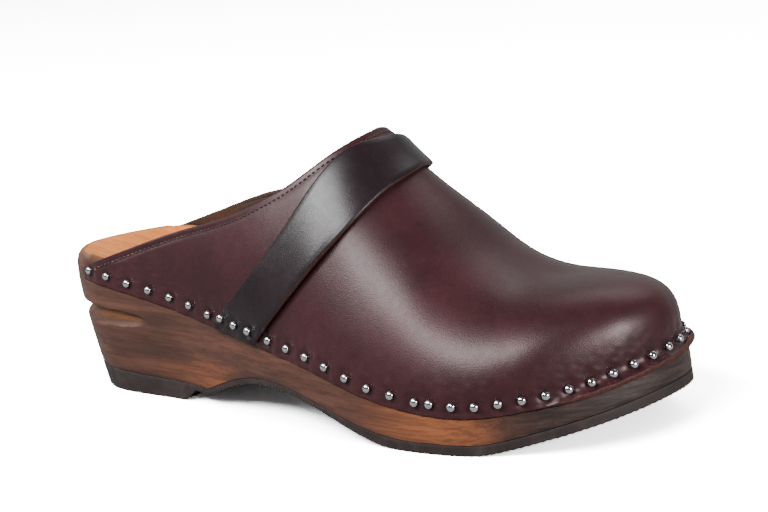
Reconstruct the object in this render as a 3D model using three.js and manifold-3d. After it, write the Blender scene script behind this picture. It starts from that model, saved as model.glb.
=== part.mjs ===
// A closed-toe, open-back wooden clog for the right foot, in millimetres, Z up, toe towards +X.
// A carved wooden sole carries a rubber outsole below and a one-piece leather upper that is nailed
// to a rabbet around its side. A strap crosses the instep under the same nails, and a lining strip is
// stitched inside the topline.
import * as THREE from 'three';
import { mergeVertices } from 'three/addons/utils/BufferGeometryUtils.js';
import Module from 'manifold-3d';

const wasm = await Module();
wasm.setup();

// ---------------------------------------------------------------- driving dimensions
const SOLE_LENGTH = 257;
const PATTERN_LENGTH = 257; // the length at which the patterns below are drawn
const GRADE = SOLE_LENGTH / PATTERN_LENGTH; // a shoemaker grades one pattern to every size

const UPPER_LEATHER = 2.2;
const STRAP_LEATHER = 2;
const LINING_LEATHER = 0.8;
const LINING_WIDTH = 11;
const GAP = 0.3; // glue line or seating gap between two pieces

const NAIL_HEAD_RADIUS = 1.5;
const NAIL_HEAD_HEIGHT = 1.1;
const NAIL_SHANK_RADIUS = 0.6;
const NAIL_LENGTH = 12;
const NAIL_ABOVE_EDGE = 4; // height of the nails over the lower edge of the leather
const NAIL_ABOVE_LIP = 3; // and where that edge turns outwards
const STRAP_NAIL_RAISE = 1.5; // the nails through the strap sit this much higher
const NAIL_HOLE_RADIUS = 0.95;

const THREAD_RADIUS = 0.35;
const STITCH_FROM_EDGE = 2.3;

// ---------------------------------------------------------------- landmarks and underside
const HEEL_TREAD = 69; // the heel touches the ground from its back to here
const BREAST = 84; // front face of the heel
const ARCH = 118; // highest point under the arch
const ARCH_END = 184; // the forefoot's level tread starts here
const BALL = 196; // middle of that tread
const HEEL_SEAT_BACK = 10; // height of the wood over the ground at the back of the heel
const HEEL_SEAT_FRONT = 7;
const ARCH_HEIGHT = 16.5;
const ARCH_RUBBER = 2.4; // thickness of the rubber under the arch
const FOREFOOT_RUBBER = 4.2;
const TOE_SPRING_START = 206; // ahead of this the tread lifts off the ground
const TOE_SPRING_SLOPE = 0.34;
const TOE_SPRING_BLEND = 12;
const FOOTBED_DEPTH = 4; // how deep the footbed is dished below the rim
const TOE_SKEW = 0.07; // the toe lifts more on the inner side, by this much per mm of width

// ---------------------------------------------------------------- patterns
// Plan of the sole's edge, heel first, then along the outer side (-Y) to the toe and back.
const EDGE_PLAN = [
  [0, 0], [7, -15], [27, -30], [75, -33], [125, -42], [170, -48], [206, -44], [235, -27], [252, -6],
  [257, 15], [248, 35], [225, 47], [190, 48], [145, 37], [95, 28], [50, 32], [24, 30], [6, 15],
];

// Side views: height over the ground against distance from the heel.
const LEATHER_EDGE = spline([
  [0, 45], [30, 43], [85, 34], [145, 24], [178, 16.5], [200, 14.5], [230, 19], [257, 26],
]);
const WOOD_RIM = spline([
  [0, 50], [28, 52], [80, 44], [140, 34], [180, 26], [200, 24], [225, 26], [257, 34],
]);

// Ridge of the upper: its height, and its offset from the middle towards the big toe.
const RIDGE_HEIGHT = spline([
  [0, 106], [80, 112], [120, 110], [147, 103], [160, 89], [176, 75], [193, 60], [208, 52.5], [228, 51.5],
]);
const RIDGE_OFFSET = spline([[0, 0], [60, 0], [147, 1], [180, 5], [224, 10]]);
// Fullness of the cross-section: 1 is a tent, 2 an ellipse, more is boxy.
const FULLNESS = spline([[0, 1.6], [110, 1.6], [147, 1.75], [180, 2], [206, 2.25], [257, 3.7]]);
const CROWN_START = 190; // ahead of this the ribs start to fan out over the toe cap
const CROWN_REACH = 37;

const TOPLINE_PEAK = 148; // the topline crosses the ridge here
// Topline: place down the rib against the square root of the distance behind the peak.
const OUTER_TOPLINE = spline([[0, 0], [6.5, 0.5], [9, 0.68], [11.3, 0.95]]);
const INNER_TOPLINE = spline([[0, 0], [5, 0.41], [8.5, 0.6], [11.3, 0.92]]);
const UPPER_REAR = 21.5; // rear end of the leather

const LIP_START = 222; // from here the leather's edge turns outwards
const LIP_FULL = 246; // and from here to the toe it is fully turned
const LIP_OUT = 1.2;
const LIP_VALLEY = 1.8;
const LIP_HEIGHT = 4.4;
const LIP_SEAT = 1.3; // extra depth of the seat below the turned-out edge

// Strap: station of its middle line, and its width along the shoe, against place around the section
// from the outer end to the inner end.
const STRAP_MIDDLE = spline([
  [-1, 104], [-0.5, 141], [-0.25, 151], [0, 157], [0.3, 147], [0.5, 130], [1, 95],
]);
const STRAP_WIDTH = spline([
  [-1, 22], [-0.5, 20.5], [-0.25, 16.5], [0, 10.5], [0.3, 10], [0.6, 15], [1, 18.5],
]);

const GROOVE_HEIGHT = 30; // carved groove around the back of the heel
const GROOVE_HALF = 3;
const GROOVE_DEPTH = 4.4;
const GROOVE_END = 55;

const HEEL_TAPER_BACK = 9; // how far the heel runs in towards the ground, at the back
const SIDE_TAPER = 2.4; // and at the sides
const TAPER_TOP = 42;
const TOE_FLARE = 1.6; // the toe runs out instead
const RABBET = UPPER_LEATHER + 0.5;

// Nails in evenly spaced stretches, from the back of the heel along each side to the toe. A stretch is
// the distance of its first nail along the edge, the spacing, and the number of nails. The second
// stretch on each side also holds the strap.
const OUTER_NAILS = [[43, 10.5, 7], [116, 7.5, 3], [139, 9.5, 8], [211, 8, 13]];
const INNER_NAILS = [[43, 10.5, 6], [106, 7.5, 3], [132, 11.5, 14]];
const STRAP_NAILS = [8, 9, 10, 38, 39, 40];

// ---------------------------------------------------------------- small helpers
function spline(points) {
  const last = points.length - 1;
  const step = (i) => points[i + 1][0] - points[i][0];
  const slope = (i) => (points[i + 1][1] - points[i][1]) / step(i);
  const tangents = points.map((_, i) => {
    if (i === 0) return slope(0);
    if (i === last) return slope(last - 1);
    return (slope(i - 1) * step(i) + slope(i) * step(i - 1)) / (step(i - 1) + step(i));
  });
  return (x) => {
    if (x <= points[0][0]) return points[0][1];
    if (x >= points[last][0]) return points[last][1];
    let i = 0;
    while (x > points[i + 1][0]) i++;
    const h = step(i);
    const t = (x - points[i][0]) / h;
    const t2 = t * t;
    const t3 = t2 * t;
    return (2 * t3 - 3 * t2 + 1) * points[i][1] + (t3 - 2 * t2 + t) * h * tangents[i]
      + (3 * t2 - 2 * t3) * points[i + 1][1] + (t3 - t2) * h * tangents[i + 1];
  };
}

const clamp = THREE.MathUtils.clamp;
const lerp = THREE.MathUtils.lerp;
const smoothstep = THREE.MathUtils.smoothstep;
const radians = THREE.MathUtils.degToRad;
const vec = (x, y, z) => new THREE.Vector3(x, y, z);
const range = (n, f) => Array.from({ length: n }, (_, i) => f(i));

// ---------------------------------------------------------------- plan of the edge
const edgeCurve = new THREE.CatmullRomCurve3(EDGE_PLAN.map(([x, y]) => vec(x, y, 0)), true, 'centripetal');
edgeCurve.arcLengthDivisions = 2000;
const EDGE_LENGTH = edgeCurve.getLength();

// Point of the edge at a share of its length: 0 at the back of the heel, 0.5 at the toe.
const edgeAt = (share) => edgeCurve.getPointAt(((share % 1) + 1) % 1);

// Outward direction in plan.
function edgeNormal(share) {
  const d = edgeCurve.getTangentAt(((share % 1) + 1) % 1);
  return vec(d.y, -d.x, 0).normalize();
}

const toeSkew = (x, y) => TOE_SKEW * y * smoothstep(x, 190, 250);
const leatherEdge = (x, y) => LEATHER_EDGE(x) + toeSkew(x, y);
const woodRim = (x, y) => WOOD_RIM(x) + toeSkew(x, y);
const footbed = (x, y) => woodRim(x, y) - FOOTBED_DEPTH * smoothstep(x, 0, 30);

// Wood over the heel, up the breast in a quarter wave, and down to the forefoot in a half wave.
function woodArch(x) {
  if (x < BREAST) return lerp(HEEL_SEAT_BACK, HEEL_SEAT_FRONT, x / BREAST);
  const rise = Math.sin((Math.PI / 2) * clamp((x - BREAST) / (ARCH - BREAST), 0, 1));
  if (x < ARCH) return lerp(HEEL_SEAT_FRONT, ARCH_HEIGHT, rise);
  return lerp(ARCH_HEIGHT, FOREFOOT_RUBBER, smoothstep(x, ARCH, ARCH_END));
}

function rubberUnderside(x) {
  if (x > BALL) {
    const ahead = Math.max(0, x - TOE_SPRING_START);
    return TOE_SPRING_SLOPE * (Math.hypot(ahead, TOE_SPRING_BLEND) - TOE_SPRING_BLEND);
  }
  const sheet = lerp(ARCH_RUBBER, FOREFOOT_RUBBER, smoothstep(x, 140, 175));
  return Math.max(0, woodArch(x) - sheet) * smoothstep(x, HEEL_TREAD, HEEL_TREAD + 8);
}

const woodUnderside = (x) => (x > BALL ? rubberUnderside(x) + FOREFOOT_RUBBER : woodArch(x));

// Moves an edge point in for its height, as the heel narrows towards the ground.
function tapered(share, z, inset = 0) {
  const p = edgeAt(share);
  const n = edgeNormal(share);
  const fall = clamp((TAPER_TOP - z) / TAPER_TOP, 0, 1) ** 1.3;
  const sideFall = p.x > 110 ? clamp(1 - z / (leatherEdge(p.x, p.y) + 0.1), 0, 1) : fall;
  const side = SIDE_TAPER * lerp(fall, sideFall, smoothstep(p.x, 110, 150)) * (1 - smoothstep(p.x, 215, 250));
  const toe = TOE_FLARE * smoothstep(p.x, 222, 250) * clamp(1 - (z - 12) / 16, 0, 1);
  const back = HEEL_TAPER_BACK * fall * Math.max(0, 1 - p.x / 70) ** 1.5;
  const drawn = side + inset - toe;
  return vec(p.x - n.x * drawn + back, p.y - n.y * drawn, z);
}

// ---------------------------------------------------------------- hood of the upper
// Half-way stations: an outer and an inner edge point the same share from the heel.
const STATIONS = range(801, (i) => {
  const share = (0.5 * i) / 800;
  return { share, x: (edgeAt(share).x + edgeAt(1 - share).x) / 2 };
});

function shareAtStation(x) {
  let i = 1;
  while (i < STATIONS.length - 1 && STATIONS[i].x < x) i++;
  const a = STATIONS[i - 1];
  const b = STATIONS[i];
  return lerp(a.share, b.share, clamp((x - a.x) / (b.x - a.x), 0, 1));
}

function stationOf(share) {
  const s = share > 0.5 ? 1 - share : share;
  return (edgeAt(s).x + edgeAt(1 - s).x) / 2;
}

// The line over the top of the upper that both halves of a cross-section meet on.
function crownAt(station) {
  const ahead = Math.max(0, station - CROWN_START);
  const x = Math.min(station, CROWN_START) + CROWN_REACH * (1 - Math.exp(-ahead / CROWN_REACH));
  return vec(x, RIDGE_OFFSET(x), RIDGE_HEIGHT(x));
}

// Outer face of the upper on one rib: 0 degrees at the leather's lower edge, 90 on the ridge.
function ribPoint(share, degrees) {
  const base = edgeAt(share);
  const station = stationOf(share);
  const crown = crownAt(station);
  const power = 2 / FULLNESS(station);
  const out = Math.max(0, Math.cos(radians(degrees))) ** power;
  const up = Math.max(0, Math.sin(radians(degrees))) ** power;
  const low = leatherEdge(base.x, base.y);
  const z = lerp(low, crown.z, up);
  const lip = smoothstep(base.x, LIP_START, LIP_FULL);
  const turn = 1 - smoothstep(z - low, 0, LIP_HEIGHT);
  const shift = lip * ((LIP_OUT + LIP_VALLEY) * turn - LIP_VALLEY) * out;
  const n = edgeNormal(share);
  return vec(lerp(crown.x, base.x, out) + n.x * shift, lerp(crown.y, base.y, out) + n.y * shift, z);
}

// Angle of a rib at a share of its own length, counted from the ridge down to the edge.
const ribTables = new Map();
function ribAngle(share, part) {
  if (!ribTables.has(share)) {
    const angles = range(49, (i) => 45 + 45 * Math.cos((Math.PI * i) / 48));
    const points = angles.map((angle) => ribPoint(share, angle));
    const lengths = [0];
    for (let i = 1; i < 49; i++) lengths.push(lengths[i - 1] + points[i].distanceTo(points[i - 1]));
    ribTables.set(share, { angles, lengths });
  }
  const { angles, lengths } = ribTables.get(share);
  const target = clamp(part, 0, 1) * lengths[48];
  let i = 1;
  while (i < 48 && lengths[i] < target) i++;
  return lerp(angles[i - 1], angles[i], (target - lengths[i - 1]) / (lengths[i] - lengths[i - 1]));
}

// The same face by station and by place around the section: -1 outer edge, 0 ridge, 1 inner edge.
function hood(station, place) {
  const share = shareAtStation(station);
  const side = place < 0 ? share : 1 - share;
  return ribPoint(side, ribAngle(side, Math.abs(place)));
}

function hoodNormal(station, place) {
  const along = hood(station + 0.7, place).sub(hood(station - 0.7, place));
  const around = hood(station, place + 0.012).sub(hood(station, place - 0.012));
  return along.cross(around).normalize();
}

// ---------------------------------------------------------------- solids from faces
const asGeometry = (points, faces) => {
  const positions = new Float32Array(points.flatMap((p) => [p.x, p.y, p.z]));
  const g = new THREE.BufferGeometry().setAttribute('position', new THREE.BufferAttribute(positions, 3));
  g.setIndex(faces.flat());
  const merged = mergeVertices(g, 1e-3);
  const index = Array.from(merged.index.array);
  const kept = range(index.length / 3, (i) => index.slice(3 * i, 3 * i + 3))
    .filter(([a, b, c]) => a !== b && b !== c && c !== a);
  merged.setIndex(kept.flat());
  return merged;
};

// Faces between neighbouring rows of a grid of points; wrap closes each row on itself.
function gridFaces(rows, columns, wrap, first = 0) {
  const faces = [];
  for (let r = 0; r < rows - 1; r++) {
    for (let c = 0; c < (wrap ? columns : columns - 1); c++) {
      const d = (c + 1) % columns;
      const [a, b] = [first + r * columns + c, first + r * columns + d];
      const [e, f] = [first + (r + 1) * columns + c, first + (r + 1) * columns + d];
      faces.push([a, b, f], [a, f, e]);
    }
  }
  return faces;
}

// A body made of rings around the edge, lowest first, closed by strips across its first and last ring.
function ringBody(rings) {
  const columns = rings[0].length;
  const faces = gridFaces(rings.length, columns, true);
  const across = (first, flip) => {
    for (let i = 0; i < columns / 2; i++) {
      const quad = [i, i + 1, columns - i - 1, (columns - i) % columns].map((k) => first + k);
      const [a, b, c, d] = flip ? quad : quad.reverse();
      faces.push([a, b, c], [a, c, d]);
    }
  };
  across(0, false);
  across((rings.length - 1) * columns, true);
  return asGeometry(rings.flat(), faces);
}

// A sheet of triangles given a thickness: the second face lies inside it, and walls join their borders.
function thicken(sheet, depth) {
  sheet.computeVertexNormals();
  const p = sheet.attributes.position;
  const n = sheet.attributes.normal;
  const count = p.count;
  const front = range(count, (i) => vec(p.getX(i), p.getY(i), p.getZ(i)));
  const back = front.map((v, i) => v.clone().addScaledVector(vec(n.getX(i), n.getY(i), n.getZ(i)), -depth));
  const triangles = range(sheet.index.count / 3, (i) => [0, 1, 2].map((k) => sheet.index.getX(3 * i + k)));
  const seen = new Set(triangles.flatMap(([a, b, c]) => [`${a},${b}`, `${b},${c}`, `${c},${a}`]));
  const walls = [];
  for (const [a, b, c] of triangles) {
    for (const [s, e] of [[a, b], [b, c], [c, a]]) {
      if (!seen.has(`${e},${s}`)) walls.push([s, s + count, e + count], [s, e + count, e]);
    }
  }
  const backFaces = triangles.map(([a, b, c]) => [c + count, b + count, a + count]);
  return asGeometry([...front, ...back], [...triangles, ...backFaces, ...walls]);
}

function toSolid(geometry) {
  const bare = geometry.clone();
  bare.deleteAttribute('normal');
  bare.deleteAttribute('uv');
  const g = mergeVertices(bare, 1e-4);
  return new wasm.Manifold(new wasm.Mesh({
    numProp: 3,
    vertProperties: new Float32Array(g.attributes.position.array),
    triVerts: new Uint32Array(g.index.array),
  }));
}

function fromSolid(solid) {
  const { vertProperties, triVerts } = solid.getMesh();
  const g = new THREE.BufferGeometry();
  g.setAttribute('position', new THREE.BufferAttribute(new Float32Array(vertProperties), 3));
  g.setIndex(Array.from(triVerts));
  return g;
}

const cut = (geometry, cutters) => fromSolid(cutters.reduce((s, c) => s.subtract(c), toSolid(geometry)));

// ---------------------------------------------------------------- wooden sole
const COLUMNS = 88;
const shares = range(COLUMNS, (i) => i / COLUMNS);

// A ring drawn in from the edge towards the sole's middle line; size 1 is the edge itself.
function innerRing(outer, size, height) {
  return outer.map((p, i) => {
    const opposite = outer[(COLUMNS - i) % COLUMNS];
    const middle = vec(clamp(p.x, 34, 212), (p.y + opposite.y) / 2, 0);
    const x = lerp(middle.x, p.x, size);
    const y = lerp(middle.y, p.y, size);
    return vec(x, y, height(x, y, p));
  });
}

function grooveRing(offset) {
  return shares.map((share) => {
    const p = edgeAt(share);
    const low = woodUnderside(p.x);
    const high = leatherEdge(p.x, p.y) - 1;
    const level = lerp(low, high, 0.6 + offset / 30);
    const z = lerp(GROOVE_HEIGHT + offset, level, smoothstep(p.x, 62, 90));
    const deep = offset === 0 ? lerp(GROOVE_DEPTH, 1.8, smoothstep(p.x, 8, 45)) : 0;
    return tapered(share, z, deep * (1 - smoothstep(p.x, GROOVE_END - 4, GROOVE_END + 2)));
  });
}

function woodenSole(nailHoles) {
  const bottomEdge = shares.map((share) => {
    const p = edgeAt(share);
    return tapered(share, woodUnderside(p.x));
  });
  const rim = (drop, inset) => shares.map((share) => {
    const p = edgeAt(share);
    return tapered(share, woodRim(p.x, p.y) - drop, inset);
  });
  const rimTop = rim(0, 3.2);
  const dish = (x, y, p) => lerp(woodRim(p.x, p.y), footbed(x, y), 0.75);
  const body = ringBody([
    innerRing(bottomEdge, 0.45, woodUnderside),
    bottomEdge,
    grooveRing(-GROOVE_HALF),
    grooveRing(0),
    grooveRing(GROOVE_HALF),
    rim(4.4, 0),
    rim(1.3, 1),
    rimTop,
    innerRing(rimTop, 0.82, dish),
    innerRing(rimTop, 0.45, footbed),
  ]);
  return cut(body, [toSolid(rabbetCutter()), ...nailHoles]);
}

// What is cut from the sole's side to seat the leather.
function rabbetCutter() {
  const first = shareAtStation(UPPER_REAR - 0.9);
  const steps = 76;
  const columns = range(steps + 1, (i) => lerp(first, 1 - first, i / steps));
  const corner = (share, z, inset) => {
    const p = edgeAt(share);
    const n = edgeNormal(share);
    return vec(p.x - n.x * inset, p.y - n.y * inset, z);
  };
  const profile = columns.map((share) => {
    const p = edgeAt(share);
    const lip = smoothstep(p.x, LIP_START, LIP_FULL);
    const low = leatherEdge(p.x, p.y) - 1.6 * GAP - LIP_SEAT * lip;
    const high = woodRim(p.x, p.y);
    const valley = LIP_VALLEY * lip;
    return [
      corner(share, low, RABBET + valley), corner(share, high + 4, RABBET + valley + 1.8),
      corner(share, high + 4, -4), corner(share, low, -4),
    ];
  });
  const faces = gridFaces(profile.length, 4, true);
  const end = 4 * (profile.length - 1);
  faces.push([2, 1, 0], [3, 2, 0], [end, end + 1, end + 2], [end, end + 2, end + 3]);
  return asGeometry(profile.flat(), faces);
}

// ---------------------------------------------------------------- rubber outsole
function rubberOutsole() {
  const edge = (height, drop) => shares.map((share) => tapered(share, height(edgeAt(share).x) - drop, 0.1));
  const top = edge(woodUnderside, GAP);
  const bottom = edge(rubberUnderside, 0);
  const middles = [0.75, 0.4];
  return ringBody([
    ...middles.toReversed().map((size) => innerRing(bottom, size, rubberUnderside)),
    bottom,
    top,
    ...middles.map((size) => innerRing(top, size, (x) => woodUnderside(x) - GAP)),
  ]);
}

// ---------------------------------------------------------------- leather upper
const REAR_RIBS = 19;
const FRONT_RIBS = 21;
const RIB_STEPS = 10;

function upperSheet() {
  const stations = range(
    REAR_RIBS,
    (i) => shareAtStation(lerp(UPPER_REAR, TOPLINE_PEAK, Math.sin((Math.PI / 2) * (i / REAR_RIBS)))),
  );
  const peak = shareAtStation(TOPLINE_PEAK);
  const ribs = [...stations, ...range(FRONT_RIBS + 1, (i) => lerp(peak, 0.5, i / FRONT_RIBS))];
  const half = (mirror) => ribs.flatMap((share) => {
    const side = mirror ? 1 - share : share;
    const behind = Math.sqrt(Math.max(0, TOPLINE_PEAK - stationOf(share)));
    const top = mirror ? INNER_TOPLINE(behind) : OUTER_TOPLINE(behind);
    const place = (k) => lerp(1, top, (k / RIB_STEPS) ** 1.4);
    return range(RIB_STEPS + 1, (k) => ribPoint(side, ribAngle(side, place(k))));
  });
  const outer = half(false);
  const inner = half(true);
  const facesOut = gridFaces(ribs.length, RIB_STEPS + 1, false);
  const facesIn = gridFaces(ribs.length, RIB_STEPS + 1, false, outer.length).map(([a, b, c]) => [c, b, a]);
  return asGeometry([...outer, ...inner], [...facesOut, ...facesIn].map(([a, b, c]) => [c, b, a]));
}

// ---------------------------------------------------------------- pieces laid on the hood
// A point beside a line on the hood: line gives [station, place], aside is measured over the surface.
function beside(line, t, aside, lift) {
  const [station, place] = line(t);
  const [s0, p0] = line(t - 0.01);
  const [s1, p1] = line(t + 0.01);
  const along = hood(s1, p1).sub(hood(s0, p0)).normalize();
  const byStation = hood(station + 0.7, place).sub(hood(station - 0.7, place)).divideScalar(1.4);
  const byPlace = hood(station, place + 0.012).sub(hood(station, place - 0.012)).divideScalar(0.024);
  const normal = byStation.clone().cross(byPlace).normalize();
  const side = along.clone().cross(normal).normalize();
  const [ss, sp, pp] = [byStation.dot(byStation), byStation.dot(byPlace), byPlace.dot(byPlace)];
  const [us, up] = [side.dot(byStation), side.dot(byPlace)];
  const det = ss * pp - sp * sp;
  const toStation = station + (aside * (us * pp - up * sp)) / det;
  const toPlace = place + (aside * (up * ss - us * sp)) / det;
  return hood(toStation, toPlace).addScaledVector(hoodNormal(toStation, toPlace), lift);
}

// Place at which a rib reaches a height over its edge.
function placeAtHeight(share, height) {
  const base = edgeAt(share);
  const low = leatherEdge(base.x, base.y);
  let part = 1;
  while (part > 0 && ribPoint(share, ribAngle(share, part)).z < low + height) part -= 0.005;
  return part;
}

function ribNormal(share, part) {
  const ds = 0.002;
  const beyond = ribPoint(share + ds, ribAngle(share + ds, part));
  const along = beyond.sub(ribPoint(share - ds, ribAngle(share - ds, part)));
  const up = ribPoint(share, ribAngle(share, part - 0.015)).sub(ribPoint(share, ribAngle(share, part)));
  return along.cross(up).normalize();
}

const sheetOf = (rows) => asGeometry(rows.flat(), gridFaces(rows.length, rows[0].length, false));

const toplineLine = (t) => [TOPLINE_PEAK - t * t, t < 0 ? -OUTER_TOPLINE(-t) : INNER_TOPLINE(t)];

function instepStrap() {
  const steps = 38;
  return sheetOf(range(steps + 1, (i) => {
    const place = lerp(-0.985, 0.985, i / steps);
    return range(5, (k) => {
      const station = STRAP_MIDDLE(place) + (k / 4 - 0.5) * STRAP_WIDTH(place);
      return hood(station, place).addScaledVector(hoodNormal(station, place), 1.5 * GAP + STRAP_LEATHER);
    });
  }));
}

const LINING_END = 9.4; // root of the distance behind the peak where the strip stops

function toplineLining() {
  const steps = 38;
  const across = [0, 0.5, 1];
  return sheetOf(range(steps + 1, (i) => {
    const t = lerp(-LINING_END, LINING_END, i / steps);
    return across.map((a) => beside(toplineLine, t, 1 + a * LINING_WIDTH, -UPPER_LEATHER - 1.3));
  }));
}

function toplineThread() {
  const points = range(41, (i) => beside(toplineLine, lerp(-10.8, 10.8, i / 40), STITCH_FROM_EDGE, 0.65));
  const path = new THREE.CatmullRomCurve3(points);
  return asGeometry(...tube(path, 84, 4, THREAD_RADIUS));
}

// Points and faces of a round tube with closed ends.
function tube(path, steps, sides, radius) {
  const rings = range(steps + 1, (i) => {
    const along = path.getTangent(i / steps);
    const u = vec(0, 0, 1).cross(along).normalize().multiplyScalar(radius);
    const v = along.clone().cross(u);
    return range(sides, (k) => {
      const a = (2 * Math.PI * k) / sides;
      return path.getPoint(i / steps).addScaledVector(u, Math.cos(a)).addScaledVector(v, Math.sin(a));
    });
  });
  const faces = gridFaces(steps + 1, sides, true);
  const end = sides * steps;
  for (let k = 1; k < sides - 1; k++) faces.push([0, k + 1, k], [end, end + k, end + k + 1]);
  return [rings.flat(), faces];
}

// ---------------------------------------------------------------- nails
// Frame of a nail: where it meets the outer face, and the way its head looks.
function nailSeat(share, raise) {
  const base = edgeAt(share);
  const lip = smoothstep(base.x, LIP_START, LIP_FULL);
  const part = placeAtHeight(share, lerp(NAIL_ABOVE_EDGE, NAIL_ABOVE_LIP, lip) + raise);
  const face = ribPoint(share, ribAngle(share, part));
  const out = ribNormal(share, part);
  const tilt = lerp(0.1, 0.4, lip);
  const head = vec(out.x, out.y, 0).normalize().multiplyScalar(Math.cos(tilt)).setZ(Math.sin(tilt));
  return { face: face.addScaledVector(head, 0.35 * lip), head };
}

const alongEdge = (stretches) => stretches.flatMap(
  ([first, spacing, count]) => range(count, (i) => (first + i * spacing) / EDGE_LENGTH),
);
const nailShares = [...alongEdge(OUTER_NAILS), ...alongEdge(INNER_NAILS).map((share) => 1 - share)];

const nailSeats = nailShares.map((share, i) => {
  const strapped = STRAP_NAILS.includes(i + 1);
  const { face, head } = nailSeat(share, strapped ? STRAP_NAIL_RAISE : 0);
  const cover = strapped ? 1.5 * GAP + STRAP_LEATHER : 0;
  const turn = new THREE.Quaternion().setFromUnitVectors(vec(0, 1, 0), head);
  return { place: face.clone().addScaledVector(head, cover + GAP + 0.1), turn };
});

function nail() {
  const r = NAIL_HEAD_RADIUS;
  const profile = [
    [0, -NAIL_LENGTH], [NAIL_SHANK_RADIUS, 1.8 - NAIL_LENGTH], [NAIL_SHANK_RADIUS, 0], [r, 0],
    [0.78 * r, 0.68 * NAIL_HEAD_HEIGHT], [0, NAIL_HEAD_HEIGHT],
  ];
  const g = new THREE.LatheGeometry(profile.map(([x, y]) => new THREE.Vector2(x, y)), 7);
  const p = g.attributes.position;
  const points = range(p.count, (i) => vec(p.getX(i), p.getY(i), p.getZ(i)));
  return asGeometry(points, range(g.index.count / 3, (i) => [0, 1, 2].map((k) => g.index.getX(3 * i + k))));
}

function nailHole({ place, turn }) {
  const g = new THREE.CylinderGeometry(NAIL_HOLE_RADIUS, NAIL_HOLE_RADIUS, NAIL_LENGTH + 4, 5);
  g.translate(0, 1.5 - NAIL_LENGTH / 2, 0).applyQuaternion(turn).translate(place.x, place.y, place.z);
  return toSolid(g);
}

// ---------------------------------------------------------------- assembly
const MATERIALS = {
  stained_wood: { color: 0x5d3d2b, roughness: 0.5, metalness: 0 },
  outsole_rubber: { color: 0x2b2726, roughness: 0.85, metalness: 0 },
  upper_leather: { color: 0x402729, roughness: 0.38, metalness: 0 },
  strap_leather: { color: 0x241a1c, roughness: 0.32, metalness: 0 },
  lining_leather: { color: 0x4a322b, roughness: 0.65, metalness: 0 },
  stitching_thread: { color: 0x7a5c45, roughness: 0.75, metalness: 0 },
  polished_steel: { color: 0xcdced2, roughness: 0.22, metalness: 1 },
};

const parts = new THREE.Group();

function add(name, slot, geometry) {
  const material = new THREE.MeshStandardMaterial(MATERIALS[slot]);
  material.name = slot;
  const mesh = new THREE.Mesh(geometry, material);
  mesh.name = name;
  parts.add(mesh);
  return mesh;
}

const holes = nailSeats.map(nailHole);
add('wooden_sole', 'stained_wood', woodenSole(holes));
add('rubber_outsole', 'outsole_rubber', rubberOutsole());
add('leather_upper', 'upper_leather', cut(thicken(upperSheet(), UPPER_LEATHER), holes));
add('instep_strap', 'strap_leather', cut(thicken(instepStrap(), STRAP_LEATHER), holes));
add('topline_lining', 'lining_leather', thicken(toplineLining(), LINING_LEATHER));
add('topline_thread', 'stitching_thread', toplineThread());
nailSeats.forEach(({ place, turn }, i) => {
  const mesh = add(`nail_${String(i + 1).padStart(2, '0')}`, 'polished_steel', nail());
  mesh.position.copy(place);
  mesh.quaternion.copy(turn);
});

// The origin is under the middle of the shoe, on the ground.
const box = new THREE.Box3().setFromObject(parts);
const centre = box.getCenter(vec(0, 0, 0));
parts.position.set(-centre.x, -centre.y, -box.min.z);

const clog = new THREE.Group();
clog.name = 'clog';
clog.scale.setScalar(GRADE);
clog.add(parts);
export default clog;
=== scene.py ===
"""Looks of a closed-toe, open-back wooden clog for the right foot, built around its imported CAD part.

Shapes are worked out in millimetres on the shoemaker's patterns (distance from the heel, height over
the ground) and written in metres in the part's own frame.
"""

import math

import bpy
import numpy as np
from mathutils import Matrix, Vector


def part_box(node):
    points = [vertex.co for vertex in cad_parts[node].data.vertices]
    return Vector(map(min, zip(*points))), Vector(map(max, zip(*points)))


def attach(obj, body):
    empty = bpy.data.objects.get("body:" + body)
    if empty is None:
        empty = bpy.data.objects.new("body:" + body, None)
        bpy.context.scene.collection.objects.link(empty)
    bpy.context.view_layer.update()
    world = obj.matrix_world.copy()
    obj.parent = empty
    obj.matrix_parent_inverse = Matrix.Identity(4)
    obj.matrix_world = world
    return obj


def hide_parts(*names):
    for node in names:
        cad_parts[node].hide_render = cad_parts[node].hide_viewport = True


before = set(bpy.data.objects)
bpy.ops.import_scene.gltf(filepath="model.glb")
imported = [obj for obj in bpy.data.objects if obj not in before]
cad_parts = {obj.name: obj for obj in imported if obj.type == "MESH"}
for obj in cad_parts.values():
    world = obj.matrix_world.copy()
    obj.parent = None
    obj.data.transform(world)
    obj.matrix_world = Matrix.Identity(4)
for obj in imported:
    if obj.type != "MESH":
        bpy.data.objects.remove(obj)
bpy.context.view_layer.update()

# ---------------------------------------------------------------- patterns
UPPER_LEATHER, STRAP_LEATHER, LINING_LEATHER, LINING_WIDTH, GAP = 2.2, 2.0, 0.8, 11.0, 0.3
STITCH_FROM_EDGE, STITCH_PITCH, STITCH_LENGTH, THREAD_RADIUS = 2.3, 2.1, 1.4, 0.32
NAIL_RADIUS, NAIL_HEIGHT, NAIL_LENGTH = 1.5, 1.1, 12.0

HEEL_TREAD, BREAST, ARCH, ARCH_END, BALL = 69, 84, 118, 184, 196
HEEL_SEAT_BACK, HEEL_SEAT_FRONT, ARCH_HEIGHT = 10, 7, 16.5
ARCH_RUBBER, FOREFOOT_RUBBER, THICKENS_FROM, THICKENS_TO, TREAD_ROUNDING = 2.4, 4.2, 140, 175, 8
FOOTBED_DEPTH, FOOTBED_FULL = 4, 30
TOE_SKEW, SKEW_START, SKEW_END = 0.07, 190, 250
TOE_SPRING_START, TOE_SPRING_SLOPE, TOE_SPRING_BLEND = 206, 0.34, 12

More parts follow.
